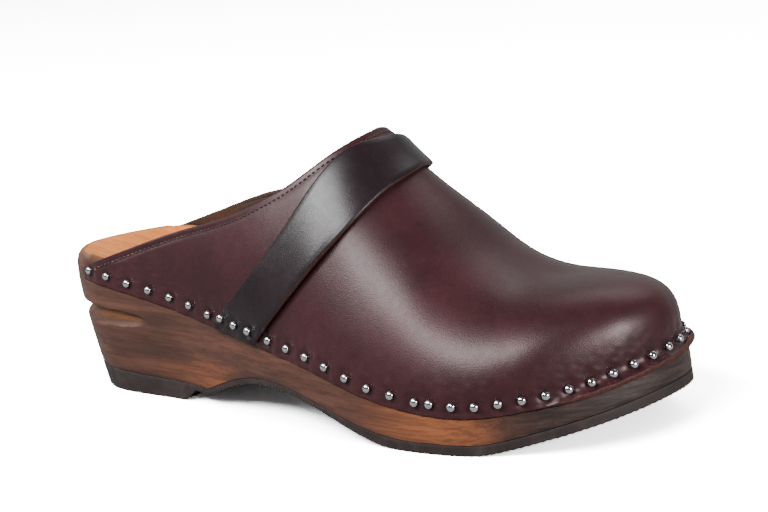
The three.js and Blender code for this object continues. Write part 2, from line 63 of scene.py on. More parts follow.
EDGE_PLAN = [
    [0, 0], [7, -15], [27, -30], [75, -33], [125, -42], [170, -48], [206, -44], [235, -27], [252, -6],
    [257, 15], [248, 35], [225, 47], [190, 48], [145, 37], [95, 28], [50, 32], [24, 30], [6, 15],
]


def spline(points):
    """Smooth curve y(x) through the points, level with its ends beyond them."""
    xs, ys = np.array(points, float).T
    step = np.diff(xs)
    slope = np.diff(ys) / step
    middle = (slope[:-1] * step[1:] + slope[1:] * step[:-1]) / (step[:-1] + step[1:])
    tangent = np.concatenate([slope[:1], middle, slope[-1:]])

    def curve(x):
        x = np.clip(np.asarray(x, float), xs[0], xs[-1])
        i = np.clip(np.searchsorted(xs, x, side="right") - 1, 0, len(step) - 1)
        t = (x - xs[i]) / step[i]
        low = (2 * t**3 - 3 * t**2 + 1) * ys[i] + (t**3 - 2 * t**2 + t) * step[i] * tangent[i]
        high = (3 * t**2 - 2 * t**3) * ys[i + 1] + (t**3 - t**2) * step[i] * tangent[i + 1]
        return low + high

    return curve


LEATHER_EDGE = spline([
    [0, 45], [30, 43], [85, 34], [145, 24], [178, 16.5], [200, 14.5], [230, 19], [257, 26],
])
WOOD_RIM = spline([
    [0, 50], [28, 52], [80, 44], [140, 34], [180, 26], [200, 24], [225, 26], [257, 34],
])
RIDGE_HEIGHT = spline([
    [0, 106], [80, 112], [120, 110], [147, 103], [160, 89], [176, 75], [193, 60], [208, 52.5], [228, 51.5],
])
RIDGE_OFFSET = spline([[0, 0], [60, 0], [147, 1], [180, 5], [224, 10]])
FULLNESS = spline([[0, 1.6], [110, 1.6], [147, 1.75], [180, 2], [206, 2.25], [257, 3.7]])
CROWN_START, CROWN_REACH = 190, 37

TOPLINE_PEAK, UPPER_REAR = 148, 21.5
# Place down the rib against the square root of the distance behind the topline's peak.
OUTER_TOPLINE = spline([[0, 0], [6.5, 0.5], [9, 0.68], [11.3, 0.95]])
INNER_TOPLINE = spline([[0, 0], [5, 0.41], [8.5, 0.6], [11.3, 0.92]])

# The leather's lower edge turns outwards around the toe, and rises more at the toe's inner corner.
LIP_START, LIP_END, LIP_OUT, LIP_VALLEY = 222, 246, 1.2, 1.8
LIP_HEIGHT, LIP_SEAT, LIP_LIFT = 4.0, 0.8, 0.5
LIP_CURL, CURL_START, CURL_END = 1.8, 6, 24

# Against place around the section, from the outer end to the inner end of the strap.
STRAP_MIDDLE = spline([[-1, 104], [-0.5, 141], [-0.25, 151], [0, 157], [0.3, 147], [0.5, 130], [1, 95]])
STRAP_WIDTH = spline([[-1, 22], [-0.5, 20.5], [-0.25, 16.5], [0, 10.5], [0.3, 10], [0.6, 15], [1, 18.5]])
STRAP_END = 0.985
LINING_END, LINING_DROP, STITCHES_END, SEAM_END = 9.4, 1.3, 10.8, 11.0
GROOVE_HEIGHT, GROOVE_HALF, GROOVE_DEPTH, GROOVE_SIDE_DEPTH, GROOVE_END = 30, 3.4, 4.4, 1.5, 55

# The sides lean in towards the ground. From the arch on, the lean is measured below the leather's edge,
# and over the toe it gives way to a flare.
HEEL_TAPER_BACK, TAPER_BACK_END, SIDE_TAPER, TAPER_TOP = 9, 70, 2.4, 42
FRONT_TAPER_START, FRONT_TAPER_FULL, TAPER_FADES_FROM, TAPER_FADES_TO = 110, 150, 215, 250
TOE_FLARE, FLARE_START, FLARE_FULL, FLARE_HEIGHT, FLARE_FADE = 1.6, 222, 250, 12, 16
CORE_BACK, CORE_FRONT = 34, 212  # ends of the middle line that undersides and footbed close on
RABBET = UPPER_LEATHER + 0.5
SEAT_DROP, RIM_BAND, RIM_CHAMFER, BARE_RIM = 1.6 * GAP, 4.4, 2.4, 3.2
TOOTH_PITCH, TOOTH_DEPTH, TEETH_START, TEETH_FULL = 2.5, 0.3, 160, 185


# ---------------------------------------------------------------- small helpers
def smooth(x, low, high):
    t = np.clip((np.asarray(x, float) - low) / (high - low), 0, 1)
    return t * t * (3 - 2 * t)


def mix(a, b, t):
    return a + (b - a) * t


def unit(v):
    return v / np.maximum(np.linalg.norm(v, axis=-1, keepdims=True), 1e-12)


def stack(*parts):
    return np.stack(np.broadcast_arrays(*parts), axis=-1)


class Ripple:
    """Smooth seeded unevenness over space: a sum of waves of about the given length, from -1 to 1."""

    def __init__(self, seed, wavelength, waves=14):
        rng = np.random.default_rng(seed)
        direction = unit(rng.normal(size=(waves, 3)))
        self.k = direction * (2 * np.pi / (wavelength * rng.uniform(0.7, 1.6, (waves, 1))))
        self.phase = rng.uniform(0, 2 * np.pi, waves)

    def __call__(self, points):
        return np.sin(points @ self.k.T + self.phase).sum(-1) / math.sqrt(2 * len(self.phase))


# ---------------------------------------------------------------- plan of the edge
def edge_table(per_segment=200):
    """The closed edge as dense points and outward normals against share of its length."""
    p = np.array(EDGE_PLAN, float)
    points = []
    for i in range(len(p)):
        p0, p1, p2, p3 = (p[(i + k - 1) % len(p)] for k in range(4))
        d0, d1, d2 = (np.linalg.norm(b - a) ** 0.5 for a, b in ((p0, p1), (p1, p2), (p2, p3)))
        m1 = ((p1 - p0) / d0 - (p2 - p0) / (d0 + d1) + (p2 - p1) / d1) * d1
        m2 = ((p2 - p1) / d1 - (p3 - p1) / (d1 + d2) + (p3 - p2) / d2) * d1
        t = (np.arange(per_segment) / per_segment)[:, None]
        cubic = (2 * p1 - 2 * p2 + m1 + m2) * t**3 + (3 * p2 - 3 * p1 - 2 * m1 - m2) * t**2
        points.append(p1 + m1 * t + cubic)
    points = np.concatenate(points + [points[0][:1]])
    lengths = np.concatenate([[0], np.cumsum(np.linalg.norm(np.diff(points, axis=0), axis=1))])
    ahead = np.roll(points[:-1], -1, 0) - np.roll(points[:-1], 1, 0)
    normal = unit(np.stack([ahead[:, 1], -ahead[:, 0]], 1))
    return lengths / lengths[-1], points, np.concatenate([normal, normal[:1]]), lengths[-1]


EDGE_SHARES, EDGE_POINTS, EDGE_NORMALS, EDGE_LENGTH = edge_table()


def edge_at(share):
    share = np.mod(share, 1)
    return tuple(np.interp(share, EDGE_SHARES, EDGE_POINTS[:, k]) for k in (0, 1))


def edge_normal(share):
    share = np.mod(share, 1)
    n = stack(*(np.interp(share, EDGE_SHARES, EDGE_NORMALS[:, k]) for k in (0, 1)))
    n = unit(n)
    return n[..., 0], n[..., 1]


def toe_skew(x, y):
    return TOE_SKEW * y * smooth(x, SKEW_START, SKEW_END)


def leather_edge(x, y):
    return LEATHER_EDGE(x) + toe_skew(x, y)


def wood_rim(x, y):
    return WOOD_RIM(x) + toe_skew(x, y)


def footbed(x, y):
    return wood_rim(x, y) - FOOTBED_DEPTH * smooth(x, 0, FOOTBED_FULL)


def wood_arch(x):
    """Wood over the heel, up the breast in a quarter wave, and down to the forefoot in a half wave."""
    heel = mix(HEEL_SEAT_BACK, HEEL_SEAT_FRONT, x / BREAST)
    rise = np.sin(np.pi / 2 * np.clip((x - BREAST) / (ARCH - BREAST), 0, 1))
    breast = mix(HEEL_SEAT_FRONT, ARCH_HEIGHT, rise)
    waist = mix(ARCH_HEIGHT, FOREFOOT_RUBBER, smooth(x, ARCH, ARCH_END))
    return np.where(x < BREAST, heel, np.where(x < ARCH, breast, waist))


def rubber_underside(x):
    x = np.asarray(x, float)
    ahead = np.maximum(0, x - TOE_SPRING_START)
    spring = TOE_SPRING_SLOPE * (np.hypot(ahead, TOE_SPRING_BLEND) - TOE_SPRING_BLEND)
    sheet = mix(ARCH_RUBBER, FOREFOOT_RUBBER, smooth(x, THICKENS_FROM, THICKENS_TO))
    rounding = smooth(x, HEEL_TREAD, HEEL_TREAD + TREAD_ROUNDING)
    behind = np.maximum(0, wood_arch(x) - sheet) * rounding
    return np.where(x > BALL, spring, behind)


def wood_underside(x):
    x = np.asarray(x, float)
    return np.where(x > BALL, rubber_underside(x) + FOREFOOT_RUBBER, wood_arch(x))


def tapered(share, z, inset=0.0):
    """An edge point moved in for its height, as the heel narrows towards the ground."""
    x, y = edge_at(share)
    nx, ny = edge_normal(share)
    fall = np.clip((TAPER_TOP - z) / TAPER_TOP, 0, 1) ** 1.3
    below_leather = np.clip(1 - z / (leather_edge(x, y) + 0.1), 0, 1)
    front_fall = np.where(x > FRONT_TAPER_START, below_leather, fall)
    lean = mix(fall, front_fall, smooth(x, FRONT_TAPER_START, FRONT_TAPER_FULL))
    side = SIDE_TAPER * lean * (1 - smooth(x, TAPER_FADES_FROM, TAPER_FADES_TO))
    flare_share = np.clip(1 - (z - FLARE_HEIGHT) / FLARE_FADE, 0, 1)
    toe = TOE_FLARE * smooth(x, FLARE_START, FLARE_FULL) * flare_share
    back = HEEL_TAPER_BACK * fall * np.maximum(0, 1 - x / TAPER_BACK_END) ** 1.5
    drawn = side + inset - toe
    return stack(x - nx * drawn + back, y - ny * drawn, z)


# ---------------------------------------------------------------- hood of the upper
TABLE_SHARES = np.linspace(0, 0.5, 801)
TABLE_STATIONS = (edge_at(TABLE_SHARES)[0] + edge_at(1 - TABLE_SHARES)[0]) / 2


def share_at_station(x):
    return np.interp(x, TABLE_STATIONS, TABLE_SHARES)


def station_of(share):
    s = np.where(share > 0.5, 1 - share, share)
    return (edge_at(s)[0] + edge_at(1 - s)[0]) / 2


def rib_point(share, degrees):
    """Outer face of the upper: 0 degrees is the leather's lower edge, 90 the ridge."""
    bx, by = edge_at(share)
    station = station_of(share)
    ahead = np.maximum(0, station - CROWN_START)
    crown = np.minimum(station, CROWN_START) + CROWN_REACH * (1 - np.exp(-ahead / CROWN_REACH))
    power = 2 / FULLNESS(station)
    angle = np.radians(degrees)
    out = np.maximum(0, np.cos(angle)) ** power
    up = np.maximum(0, np.sin(angle)) ** power
    low = leather_edge(bx, by)
    z = mix(low, RIDGE_HEIGHT(crown), up)
    lip = smooth(bx, LIP_START, LIP_END)
    turn = (1 - np.clip((z - low) / LIP_HEIGHT, 0, 1)) ** 2
    shift = lip * ((LIP_OUT + LIP_VALLEY) * turn - LIP_VALLEY) * out
    nx, ny = edge_normal(share)
    z = z + (LIP_LIFT + LIP_CURL * smooth(by, CURL_START, CURL_END)) * lip * turn**2
    return stack(mix(crown, bx, out) + nx * shift, mix(RIDGE_OFFSET(crown), by, out) + ny * shift, z)


RIB_STEPS = 48
RIB_ANGLES = 45 + 45 * np.cos(np.pi * np.arange(RIB_STEPS + 1) / RIB_STEPS)
STATION_STEP, PLACE_STEP = 0.7, 0.012  # for slopes over the hood


def rib_angle(share, part):
    """Angle on a rib at a share of its own length, counted from the ridge down to the edge."""
    share, part = np.asarray(share, float), np.asarray(part, float)
    points = rib_point(share[..., None], RIB_ANGLES)
    steps = np.linalg.norm(np.diff(points, axis=-2), axis=-1)
    lengths = np.concatenate([np.zeros(steps.shape[:-1] + (1,)), np.cumsum(steps, -1)], -1)
    target = np.clip(part, 0, 1) * lengths[..., -1]
    i = np.clip((lengths < target[..., None]).sum(-1), 1, RIB_STEPS)
    table = np.broadcast_to(lengths, i.shape + (RIB_STEPS + 1,))
    a = np.take_along_axis(table, i[..., None] - 1, -1)[..., 0]
    b = np.take_along_axis(table, i[..., None], -1)[..., 0]
    return mix(RIB_ANGLES[i - 1], RIB_ANGLES[i], (target - a) / (b - a))


def hood(station, place):
    """The same face by station and place: -1 is the outer edge, 0 the ridge, 1 the inner edge."""
    station, place = np.broadcast_arrays(np.asarray(station, float), np.asarray(place, float))
    share = share_at_station(station)
    side = np.where(place < 0, share, 1 - share)
    return rib_point(side, rib_angle(side, np.abs(place)))


def hood_slopes(station, place):
    along = hood(station + STATION_STEP, place) - hood(station - STATION_STEP, place)
    around = hood(station, place + PLACE_STEP) - hood(station, place - PLACE_STEP)
    return along, around


def hood_normal(station, place):
    return unit(np.cross(*hood_slopes(station, place)))


def beside(line, t, aside, lift):
    """Points beside a line on the hood, aside measured over the surface and lift off it."""
    station, place = line(t)
    s0, p0 = line(t - 0.01)
    s1, p1 = line(t + 0.01)
    along = unit(hood(s1, p1) - hood(s0, p0))
    by_s, by_p = hood_slopes(station, place)
    by_s = by_s / (2 * STATION_STEP)
    by_p = by_p / (2 * PLACE_STEP)
    side = unit(np.cross(along, unit(np.cross(by_s, by_p))))
    ss, sp, pp = (by_s * by_s).sum(-1), (by_s * by_p).sum(-1), (by_p * by_p).sum(-1)
    us, up = (side * by_s).sum(-1), (side * by_p).sum(-1)
    det = ss * pp - sp * sp
    to_s = station + aside * (us * pp - up * sp) / det
    to_p = place + aside * (up * ss - us * sp) / det
    return hood(to_s, to_p) + hood_normal(to_s, to_p) * np.asarray(lift)[..., None]


def topline(t):
    return TOPLINE_PEAK - t * t, np.where(t < 0, -OUTER_TOPLINE(-t), INNER_TOPLINE(t))


# ---------------------------------------------------------------- from patterns to the part's frame
def pattern_shift():
    """How far the part's frame lies from the patterns, from the outline of the rubber outsole."""
    shares = np.arange(88) / 88
    x = edge_at(shares)[0]
    ring = np.concatenate([
        tapered(shares, wood_underside(x) - GAP, 0.1), tapered(shares, rubber_underside(x), 0.1),
    ])
    low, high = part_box("rubber_outsole")
    cad = (np.array(low) + np.array(high)) * 500
    own = (ring.min(0) + ring.max(0)) / 2
    return np.array([cad[0] - own[0], cad[1] - own[1], 0])


SHIFT = pattern_shift()


def grid_faces(rows, columns, wrap=False, flip=False, first=0):
    r, c = np.meshgrid(np.arange(rows - 1), np.arange(columns if wrap else columns - 1), indexing="ij")
    a, b = r * columns + c, r * columns + (c + 1) % columns
    quads = np.stack([a, b, b + columns, a + columns], -1).reshape(-1, 4) + first
    return quads[:, ::-1] if flip else quads


def weld(points, faces, tolerance=2e-3):
    """Joins points that coincide, and drops faces that shrink to a line."""
    cells = np.round(points / tolerance)
    _, first, index = np.unique(cells, axis=0, return_index=True, return_inverse=True)
    index = index.ravel()
    faces = [list(dict.fromkeys(index[list(f)])) for f in faces]
    return points[first], [f for f in faces if len(f) > 2], first


def vertex_normals(points, faces):
    normal = np.zeros_like(points)
    for size in (3, 4):
        f = np.array([x for x in faces if len(x) == size], int).reshape(-1, size)
        if len(f):
            n = np.cross(points[f[:, 2]] - points[f[:, 0]], points[f[:, size - 1]] - points[f[:, 1]])
            for k in range(size):
                np.add.at(normal, f[:, k], n)
    return unit(normal)


def in_scene(name, data):
    made = bpy.data.objects.new(name, data)
    bpy.context.scene.collection.objects.link(made)
    return made


def make_piece(name, points, faces, marks=None, sharp=50):
    """A smooth mesh object from points on the patterns, with a number per point for each mark."""
    mesh = bpy.data.meshes.new(name)
    mesh.from_pydata(((points + SHIFT) / 1000).tolist(), [], [list(map(int, f)) for f in faces])
    for key, values in (marks or {}).items():
        attribute = mesh.attributes.new(key, "FLOAT", "POINT")
        attribute.data.foreach_set("value", np.asarray(values, np.float32))
    mesh.validate()
    mesh.shade_smooth()
    mesh.set_sharp_from_angle(angle=math.radians(sharp))
    return in_scene(name, mesh)


def thick_sheet(name, points, faces, depth, marks, raised, bulge=0.3, steps=5):
    """Leather cut from a sheet: outer face, inner face depth below it, and a slightly rounded cut edge.

    raised moves only the outer face. The mark rim is 1 on the cut edge, flesh is 1 on the inner face.
    """
    normal = vertex_normals(points, faces)
    outer = points + normal * raised[:, None]
    inner = points - normal * depth
    count = len(points)
    sides = dict.fromkeys((a, b) for f in faces for a, b in zip(f, list(f[1:]) + [f[0]]))
    border = [(a, b) for a, b in sides if (b, a) not in sides]
    follow = dict(border)
    before = {b: a for a, b in border}
    ids = sorted(follow)
    along = unit(points[[follow[i] for i in ids]] - points[[before[i] for i in ids]])
    away = unit(np.cross(along, normal[ids]))
    rings = []
    for k in range(1, steps):
        t = 0.5 - 0.5 * math.cos(math.pi * k / steps)
        swell = bulge * math.sin(math.pi * k / steps)
        rings.append(mix(outer[ids], inner[ids], t) + away * swell)
    everything = np.concatenate([outer, inner] + rings)
    rank = {v: i for i, v in enumerate(ids)}

    def at_level(v, k):
        if k == 0:
            return v
        return v + count if k == steps else 2 * count + (k - 1) * len(ids) + rank[v]

    walls = [
        [at_level(b, k), at_level(a, k), at_level(a, k + 1), at_level(b, k + 1)]
        for a, b in border for k in range(steps)
    ]
    all_faces = [list(f) for f in faces] + [[v + count for v in f[::-1]] for f in faces] + walls
    on_rim = len(ids) * (steps - 1)
    values = {key: np.concatenate([v, v] + [v[ids]] * (steps - 1)) for key, v in marks.items()}
    values["rim"] = np.concatenate([np.zeros(2 * count), np.ones(on_rim)])
    values["flesh"] = np.concatenate([np.zeros(count), np.ones(count), np.zeros(on_rim)])
    return make_piece(name, everything, all_faces, values, sharp=60)


def facing_up(points, faces, above):
    """The faces, turned if needed so that those higher than above look up."""
    upward = (vertex_normals(points, faces)[:, 2] * (points[:, 2] > above)).sum()
    return faces if upward >= 0 else faces[:, ::-1]


# ---------------------------------------------------------------- materials
def rgba(value):
    return (*value, 1.0) if isinstance(value, tuple) else value


class Shader:
    """The nodes of a material or a world. Lengths in them are metres of the part's frame."""

    def __init__(self, owner):
        self.owner = owner
        owner.use_nodes = True
        self.tree = owner.node_tree
        self.tree.nodes.clear()
        coordinates = self.add("ShaderNodeTexCoord")
        self.place = coordinates.outputs["Object"]
        self.toward = coordinates.outputs["Generated"]  # in a world, the direction looked in

    def add(self, kind, inputs=None, **settings):
        node = self.tree.nodes.new(kind)
        for key, value in settings.items():
            setattr(node, key, value)
        for key, value in (inputs or {}).items():
            if isinstance(value, bpy.types.NodeSocket):
                self.tree.links.new(value, node.inputs[key])
            else:
                node.inputs[key].default_value = value
        return node

    def math(self, operation, a, b=0.0, clamp=False):
        node = self.add("ShaderNodeMath", {0: a, 1: b}, operation=operation, use_clamp=clamp)
        return node.outputs[0]

    def vector(self, operation, a, b):
        return self.add("ShaderNodeVectorMath", {0: a, 1: b}, operation=operation).outputs[0]

    def axis(self, name):
        return self.add("ShaderNodeSeparateXYZ", {0: self.place}).outputs[name]

    def stretched(self, sx, sy, sz):
        return self.vector("MULTIPLY", self.place, (sx, sy, sz))

    def noise(self, scale, detail=3.0, roughness=0.55, at=None, distortion=0.0):
        return self.add("ShaderNodeTexNoise", {
            "Vector": at or self.place, "Scale": scale, "Detail": detail, "Roughness": roughness,
            "Distortion": distortion,
        }).outputs["Fac"]

    def cells(self, scale):
        node = self.add("ShaderNodeTexVoronoi", {"Vector": self.place, "Scale": scale}, feature="F1")
        return node.outputs["Distance"]

    def span(self, value, low, high, to_low=0.0, to_high=1.0):
        """Maps low..high smoothly to to_low..to_high."""
        return self.add("ShaderNodeMapRange", {
            "Value": value, "From Min": low, "From Max": high, "To Min": to_low, "To Max": to_high,
        }, interpolation_type="SMOOTHSTEP").outputs[0]

    def blend(self, share, a, b):
        """Colour a where share is 0, and colour b where it is 1."""
        inputs = {0: share, 6: rgba(a), 7: rgba(b)}
        return self.add("ShaderNodeMix", inputs, data_type="RGBA", blend_type="MIX").outputs[2]

    def mark(self, name):
        return self.add("ShaderNodeAttribute", attribute_name=name).outputs["Fac"]

    def bump(self, height, distance, strength=1.0, under=None):
        inputs = {"Height": height, "Distance": distance, "Strength": strength}
        if under:
            inputs["Normal"] = under
        return self.add("ShaderNodeBump", inputs).outputs[0]

    def surface(self, **inputs):
        """The finished material. Inputs of the Principled node are named with _ for a space."""
        named = {key.replace("_", " "): rgba(value) for key, value in inputs.items()}
        principled = self.add("ShaderNodeBsdfPrincipled", named)
        self.add("ShaderNodeOutputMaterial", {0: principled.outputs[0]})
        return self.owner

    def seen_directly(self):
        """1 for what the camera sees straight on, 0 for what only lights or reflects."""
        return self.add("ShaderNodeLightPath").outputs["Is Camera Ray"]


def material(name):
    return Shader(bpy.data.materials.new(name))


def leather(name, dark, light, raw, flesh, rough, coat, tint=(1.0, 1.0, 1.0)):
    """Smooth full-grain leather: cloudy dye, fine pores, dull raw edges and a napped inner face."""
    s = material(name)
    cloud = s.noise(28, 4, 0.6)
    mottle = s.noise(260, 3, 0.6)
    colour = s.blend(s.span(cloud, 0.35, 0.68), dark, light)
    colour = s.blend(s.span(mottle, 0.3, 0.75, 0.0, 0.35), colour, dark)
    pores = s.cells(1500)
    colour = s.blend(s.span(pores, 0.0, 0.22, 0.35, 0.0), colour, tuple(c * 0.45 for c in dark))
    # Painted shade: the pinch mark darkens the leather in the dimples round the nails, along the stitch row
    # and along the strap's pressed edges.
    pinch_shade = s.mark("pinch_shade")
    colour = s.blend(s.math("MULTIPLY", pinch_shade, 0.55, clamp=True), colour, tuple(c * 0.55 for c in dark))
    fibre = s.noise(900, 3, 0.7)
    edge = s.blend(s.span(fibre, 0.35, 0.7), tuple(c * 0.55 for c in raw), raw)
    rim = s.math("MULTIPLY", s.mark("rim"), s.span(fibre, 0.2, 0.5, 0.6, 1.0))
    colour = s.blend(rim, colour, edge)
    inside = s.blend(s.span(s.noise(600, 4, 0.7), 0.3, 0.7), flesh, tuple(c * 1.5 for c in flesh))
    colour = s.blend(s.mark("flesh"), colour, inside)
    dull = s.math("MAXIMUM", s.mark("rim"), s.mark("flesh"))
    gloss = s.math("ADD", rough, s.span(s.noise(420, 3, 0.5), 0.3, 0.75, -0.015, 0.03))
    gloss = s.math("ADD", gloss, s.span(cloud, 0.3, 0.7, -0.015, 0.02))
    gloss = s.math("ADD", gloss, s.math("MULTIPLY", dull, 0.35), clamp=True)
    normal = s.bump(s.cells(1900), 0.00004, 0.6)
    normal = s.bump(s.noise(2600, 2, 0.6), 0.00004, 0.6, normal)
    normal = s.bump(s.noise(150, 3, 0.55), 0.00012, 0.25, normal)
    normal = s.bump(fibre, 0.00025, s.math("MULTIPLY", dull, 0.8), normal)
    return s.surface(
        Base_Color=colour, Roughness=gloss, Normal=normal, Coat_Weight=coat, Coat_Roughness=0.3,
        Specular_IOR_Level=0.38, Specular_Tint=tint,
    )


def stained_wood():
    """Wood carved from one block: growth rings run along the shoe, stained outside, footbed left bare."""
    s = material("stained_wood_look")
    wander = s.noise(9, 3, 0.5, at=s.stretched(0.45, 1, 1))
    y = s.math("ADD", s.axis("Y"), 0.045)
    z = s.math("ADD", s.axis("Z"), 0.07)
    radius = s.math("SQRT", s.math("ADD", s.math("MULTIPLY", y, y), s.math("MULTIPLY", z, z)))
    ring = s.math("ADD", s.math("MULTIPLY", radius, 900.0), s.math("MULTIPLY", wander, 34.0))
    grain = s.math("ADD", s.math("MULTIPLY", s.math("SINE", ring), 0.5), 0.5)
    streak = s.noise(1, 6, 0.75, at=s.stretched(22, 420, 640))
    fine = s.noise(1, 3, 0.75, at=s.stretched(110, 1700, 2400))
    stain = s.noise(1, 4, 0.6, at=s.stretched(16, 30, 75), distortion=0.4)
    x = s.axis("X")
    brown = s.blend(s.span(stain, 0.36, 0.66), (0.060, 0.0265, 0.0200), (0.112, 0.046, 0.030))
    warm_ball = s.math("MULTIPLY", s.span(x, 0.028, 0.066), s.span(x, 0.076, 0.09, 1.0, 0.0))
    low_heel = s.math("MULTIPLY", s.span(x, -0.075, -0.04), s.span(x, -0.035, -0.02, 1.0, 0.0))
    low_heel = s.math("MULTIPLY", low_heel, s.span(s.axis("Z"), 0.012, 0.022, 0.6, 0.0))
    warm = s.math("MULTIPLY", s.math("ADD", warm_ball, low_heel), s.span(stain, 0.2, 0.55), clamp=True)
    brown = s.blend(warm, brown, (0.31, 0.104, 0.040))
    toe = s.span(x, 0.082, 0.102)
    layers = s.noise(1, 5, 0.7, at=s.stretched(45, 45, 700))
    charcoal = s.blend(s.span(layers, 0.4, 0.64), (0.017, 0.0115, 0.0110), (0.062, 0.040, 0.034))
    brown = s.blend(toe, brown, charcoal)
    # Painted shade and painted light inside the groove: its lower half, which faces up into the key light,
    # is painted dark, and its upper half, which lies in shade, is painted light orange. The groove's orange
    # is partly the carved wood's own colour and partly painted light.
    carved = s.blend(s.span(s.axis("Z"), 0.0275, 0.031), (0.050, 0.020, 0.009), (0.200, 0.078, 0.027))
    brown = s.blend(s.mark("scoop"), brown, carved)
    brown = s.blend(s.span(streak, 0.38, 0.60, 0.52, 0.0), brown, (0.026, 0.012, 0.009))
    brown = s.blend(s.math("MULTIPLY", grain, 0.2), brown, (0.026, 0.012, 0.009))
    bare = s.blend(s.span(streak, 0.3, 0.75), (0.60, 0.160, 0.030), (0.87, 0.29, 0.055))
    bare = s.blend(s.math("MULTIPLY", grain, 0.2), bare, (0.5, 0.19, 0.06))
    colour = s.blend(s.mark("bare"), brown, bare)
    colour = s.blend(s.span(fine, 0.5, 0.74, 0.0, 0.35), colour, (0.02, 0.01, 0.007))
    height = s.math("ADD", s.math("MULTIPLY", streak, 0.6), s.math("MULTIPLY", fine, 0.4))
    normal = s.bump(height, 0.0002, 0.45)
    rough = s.math("ADD", 0.45, s.span(streak, 0.3, 0.7, 0.1, -0.04))
    rough = s.math("ADD", rough, s.math("MULTIPLY", s.mark("scoop"), 0.25), clamp=True)
    return s.surface(
        Base_Color=colour, Roughness=rough, Normal=normal, Coat_Weight=0.06, Coat_Roughness=0.35,
        Specular_IOR_Level=0.35,
    )


def outsole_rubber():
    s = material("outsole_rubber_look")
    dust = s.noise(120, 5, 0.7)
    speck = s.noise(1800, 2, 0.6)
    colour = s.blend(s.span(dust, 0.4, 0.75), (0.022, 0.0145, 0.0140), (0.046, 0.032, 0.030))
    colour = s.blend(s.span(speck, 0.6, 0.75, 0.0, 0.35), colour, (0.09, 0.075, 0.065))
    normal = s.bump(s.math("ADD", speck, s.noise(500, 3, 0.6)), 0.00012, 0.6)
    rough = s.span(dust, 0.3, 0.7, 0.6, 0.85)
    return s.surface(Base_Color=colour, Roughness=rough, Normal=normal, Specular_IOR_Level=0.35)


def thread():
    s = material("thread_look")
    twist = s.noise(1, 2, 0.5, at=s.stretched(2600, 2600, 2600))
    fresh = s.span(s.axis("X"), -0.09, -0.03, 0.35, 0.0)
    worn = s.math("MULTIPLY", fresh, s.span(s.noise(380, 2, 0.5), 0.45, 0.6))
    colour = s.blend(worn, (0.03, 0.014, 0.012), (0.34, 0.20, 0.12))
    return s.surface(Base_Color=colour, Roughness=0.7, Normal=s.bump(twist, 0.0001, 0.7))


def polished_steel():
    s = material("polished_steel_look")
    scuff = s.noise(900, 4, 0.7)
    colour = s.blend(s.span(scuff, 0.5, 0.75), (0.82, 0.83, 0.86), (0.5, 0.5, 0.54))
    rough = s.span(scuff, 0.4, 0.8, 0.05, 0.2)
    normal = s.bump(scuff, 0.00004, 0.4)
    return s.surface(Base_Color=colour, Metallic=1.0, Roughness=rough, Normal=normal)


LOOKS = {
    "upper_leather": leather(
        "upper_leather_look", dark=(0.0225, 0.0058, 0.0076), light=(0.038, 0.0096, 0.0122),
        raw=(0.085, 0.026, 0.019), flesh=(0.035, 0.02, 0.013), rough=0.38, coat=0.08,
        tint=(1.0, 0.84, 0.86),
    ),
    "strap_leather": leather(
        "strap_leather_look", dark=(0.0066, 0.0028, 0.0045), light=(0.0115, 0.0045, 0.0070),
        raw=(0.07, 0.024, 0.018), flesh=(0.03, 0.018, 0.012), rough=0.35, coat=0.20,
    ),
    "lining_leather": leather(
        "lining_leather_look", dark=(0.026, 0.014, 0.010), light=(0.042, 0.022, 0.015),
        raw=(0.07, 0.038, 0.026), flesh=(0.03, 0.018, 0.012), rough=0.6, coat=0.0,
    ),
    "stained_wood": stained_wood(),
    "outsole_rubber": outsole_rubber(),
    "stitching_thread": thread(),
    "polished_steel": polished_steel(),
}


def finish_piece(piece, slot, node):
    piece.data.materials.append(LOOKS[slot])
    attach(piece, "root")
    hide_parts(node)


# ---------------------------------------------------------------- nails, each where its CAD node is
def nail_ends(node):
    """Top and tip of a nail, in millimetres on the patterns: its two points that lie furthest apart."""
    points = np.array([v.co for v in node.data.vertices]) * 1000 - SHIFT
    tip = points[np.argmax(np.linalg.norm(points - points.mean(0), axis=1))]
    top = points[np.argmax(np.linalg.norm(points - tip, axis=1))]
    return top, tip


NAILS = {n: nail_ends(o) for n, o in sorted(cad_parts.items()) if n.startswith("nail_")}
NAIL_TOPS = np.array([top for top, _ in NAILS.values()])
NAIL_AXES = unit(np.array([top - tip for top, tip in NAILS.values()]))
NAIL_FEET = NAIL_TOPS - NAIL_AXES * NAIL_HEIGHT


def nail_mesh(segments=28):
    """A domed head with a rolled lower edge on a tapering shank, its head towards +Z."""
    r, h = NAIL_RADIUS, NAIL_HEIGHT
    roll = 0.12
    quarter = np.linspace(0, math.pi / 2, 10)[:-1]
    dome = [(r * math.cos(a), roll + (h - roll) * math.sin(a)) for a in quarter]
    shank = [(0.05, -NAIL_LENGTH), (0.5, 1.8 - NAIL_LENGTH), (0.55, -0.3), (0.6, 0)]
    profile = shank + [(r - roll, 0)] + dome
    angles = 2 * np.pi * np.arange(segments) / segments
    rings = [[(x * math.cos(a), x * math.sin(a), z) for a in angles] for x, z in profile]
    points = np.concatenate(rings + [[(0, 0, -NAIL_LENGTH - 0.02)], [(0, 0, h)]])
    faces = [list(f) for f in grid_faces(len(profile), segments, wrap=True)]
    tip, top = len(points) - 2, len(points) - 1
    last = (len(profile) - 1) * segments
    for k in range(segments):
        faces.append([tip, (k + 1) % segments, k])
        faces.append([top, last + k, last + (k + 1) % segments])
    mesh = bpy.data.meshes.new("nail_look")
    mesh.from_pydata((points / 1000).tolist(), [], faces)
    mesh.shade_smooth()
    mesh.materials.append(LOOKS["polished_steel"])
    return mesh


